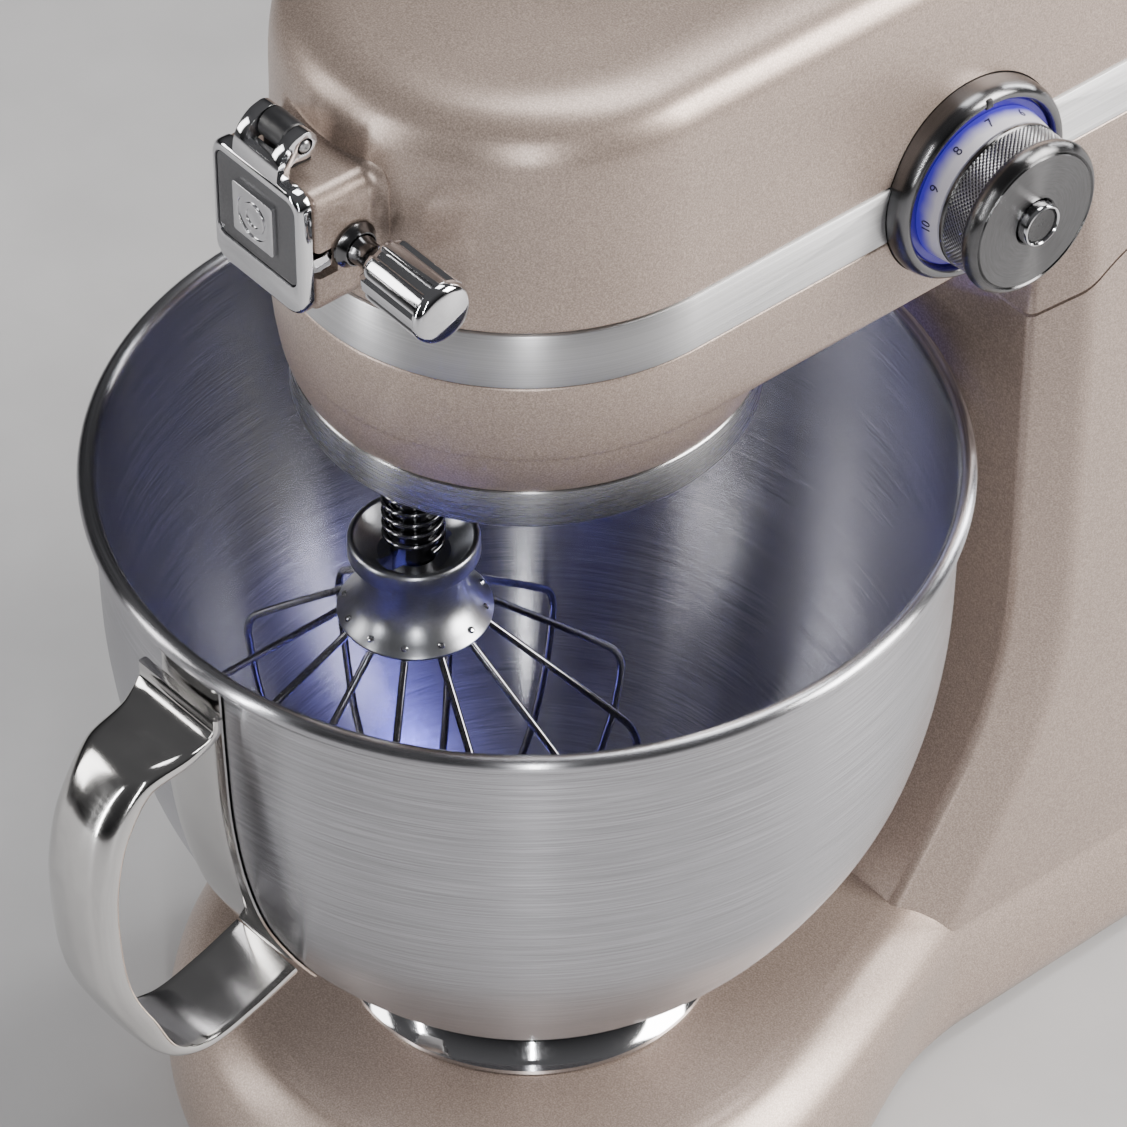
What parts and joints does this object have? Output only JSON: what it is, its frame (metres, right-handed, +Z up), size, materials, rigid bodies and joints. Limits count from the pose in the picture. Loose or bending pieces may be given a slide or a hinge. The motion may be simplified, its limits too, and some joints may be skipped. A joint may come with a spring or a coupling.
{
  "type": "tilt-head stand mixer",
  "caption": "Tilt-head stand mixer with a planetary wire whisk, a handled steel bowl on a keyhole base, a side speed dial and a front drive hub under a hinged cover.",
  "frame": {"origin": "middle of the overall box at counter level, under the rubber feet", "axes": "+Z up; -Y towards the front hub and the bowl handle; +X towards the speed dial, and X is 0 on the plane through the bowl's axis and the head"},
  "size_m": [0.228, 0.3686, 0.3745],
  "materials": {
    "paint": "fine metallic taupe lacquer, satin to gloss",
    "brushed_steel": "brushed stainless steel",
    "polished_steel": "mirror polished",
    "dark_chrome": "dark smoked chrome",
    "satin_grey": "satin die-cast",
    "machined_steel": "machined steel",
    "dark_plastic": "moulded black plastic",
    "rubber": "moulded rubber",
    "bronze": "sintered bronze",
    "blue_glow": "back-lit translucent ring",
    "lens": "frosted light lens",
    "number_ring": "pale satin ring with dial numbers"
  },
  "bodies": {
    "stand": {"stand_casting": "paint", "bottom_plate": "dark_plastic", "rubber_foot_1": "rubber", "rubber_foot_2": "rubber", "rubber_foot_3": "rubber", "rubber_foot_4": "rubber", "bowl_seat": "machined_steel", "hinge_pin": "machined_steel", "hinge_bush_left": "bronze", "hinge_bush_right": "bronze", "power_cord_gland": "rubber"},
    "release_lever": {"release_lever": "polished_steel"},
    "lock_plunger": {"lock_plunger": "machined_steel"},
    "bowl": {"bowl_shell": "brushed_steel", "bowl_foot": "polished_steel", "bowl_handle": "polished_steel", "handle_backing": "polished_steel"},
    "head": {"head_upper_shell": "paint", "head_lower_shell": "paint", "trim_band": "brushed_steel", "drip_ring": "brushed_steel", "rear_vent_grille": "dark_plastic", "bowl_light_lens": "lens", "gearbox_frame": "satin_grey", "hinge_yoke": "satin_grey", "planetary_ring_gear": "machined_steel", "motor_housing": "dark_plastic", "speed_control_board": "dark_plastic", "hub_socket": "machined_steel", "hub_hinge_barrel": "dark_plastic", "hub_hinge_pin": "machined_steel", "dial_bezel": "dark_chrome", "dial_glow_ring": "blue_glow"},
    "planetary": {"planetary_carrier": "dark_plastic", "main_drive_shaft": "machined_steel", "main_bevel_gear": "machined_steel"},
    "beater": {"planet_pinion": "machined_steel", "beater_shaft": "machined_steel", "beater_cross_pin": "machined_steel", "beater_spring": "machined_steel"},
    "whisk": {"whisk_collar": "brushed_steel", "whisk_loop_1": "brushed_steel", "whisk_loop_2": "brushed_steel", "whisk_loop_3": "brushed_steel", "whisk_loop_4": "brushed_steel", "whisk_loop_5": "brushed_steel", "whisk_loop_6": "brushed_steel"},
    "motor_rotor": {"motor_armature": "machined_steel", "motor_bevel_pinion": "machined_steel", "cooling_fan": "dark_plastic"},
    "hub_drive": {"hub_drive_shaft": "machined_steel"},
    "hub_cover": {"hub_cover": "polished_steel", "hub_cover_inset": "satin_grey", "hub_cover_badge": "polished_steel"},
    "thumb_washer": {"thumb_screw_washer": "dark_chrome"},
    "thumb_screw": {"thumb_screw_stem": "dark_chrome", "thumb_screw_knob": "polished_steel"},
    "dial": {"dial_knob": "brushed_steel", "dial_number_ring": "number_ring"},
    "pulse_button": {"pulse_button": "dark_chrome"}
  },
  "joints": [
    {"name": "head_tilt", "type": "hinge", "parent": "stand", "child": "head", "pos_m": [0, 0.1303, 0.211], "axis": [-1, 0, 0], "range_deg": [0, 45]},
    {"name": "bowl_twist", "type": "hinge", "parent": "stand", "child": "bowl", "pos_m": [0, -0.0317, 0.05], "axis": [0, 0, 1], "range_deg": [0, 20]},
    {"name": "release_lever_turn", "type": "hinge", "parent": "stand", "child": "release_lever", "pos_m": [-0.07, 0.1183, 0.168], "axis": [-1, 0, 0], "range_deg": [0, 30], "stiffness_Nm_per_rad": 0.3, "springref_deg": -17.19},
    {"name": "lock_plunger_slide", "type": "slide", "parent": "stand", "child": "lock_plunger", "axis": [0, 0, -1], "range_m": [0, 0.008]},
    {"name": "planetary_spin", "type": "hinge", "parent": "head", "child": "planetary", "pos_m": [0, -0.0317, 0.26], "axis": [0, 0, 1], "continuous": true},
    {"name": "beater_spin", "type": "hinge", "parent": "planetary", "child": "beater", "pos_m": [0, -0.0687, 0.23], "axis": [0, 0, 1], "continuous": true},
    {"name": "whisk_push_up", "type": "slide", "parent": "beater", "child": "whisk", "axis": [0, 0, 1], "range_m": [0, 0.005], "stiffness_N_per_m": 500, "springref_m": -0.01, "deforming": ["beater_spring"]},
    {"name": "motor_spin", "type": "hinge", "parent": "head", "child": "motor_rotor", "pos_m": [0, 0.0683, 0.32], "axis": [0, 1, 0], "continuous": true},
    {"name": "hub_drive_spin", "type": "hinge", "parent": "head", "child": "hub_drive", "pos_m": [0, -0.0617, 0.338], "axis": [0, 1, 0], "continuous": true},
    {"name": "hub_cover_hinge", "type": "hinge", "parent": "head", "child": "hub_cover", "pos_m": [0, -0.1048, 0.3641], "axis": [-1, 0, 0], "range_deg": [0, 110]},
    {"name": "thumb_screw_slide", "type": "slide", "parent": "head", "child": "thumb_washer", "axis": [1, 0, 0], "range_m": [0, 0.0045]},
    {"name": "thumb_screw_turn", "type": "hinge", "parent": "thumb_washer", "child": "thumb_screw", "pos_m": [0.03, -0.0987, 0.3375], "axis": [1, 0, 0], "range_deg": [0, 1080]},
    {"name": "dial_turn", "type": "hinge", "parent": "head", "child": "dial", "pos_m": [0.08, 0.0568, 0.306], "axis": [1, 0, 0], "range_deg": [-100, 180]},
    {"name": "pulse_button_press", "type": "slide", "parent": "dial", "child": "pulse_button", "axis": [-1, 0, 0], "range_m": [0, 0.0018], "stiffness_N_per_m": 600, "springref_m": -0.003}
  ],
  "couplings": [
    {"joint": "beater_spin", "follows": "planetary_spin", "ratio": -3.5},
    {"joint": "motor_spin", "follows": "planetary_spin", "ratio": 2.75},
    {"joint": "hub_drive_spin", "follows": "planetary_spin", "ratio": 1.5},
    {"joint": "thumb_screw_turn", "follows": "thumb_screw_slide", "rad_per_m": 4188.8},
    {"joint": "lock_plunger_slide", "follows": "release_lever_turn", "m_per_rad": 0.0152}
  ]
}
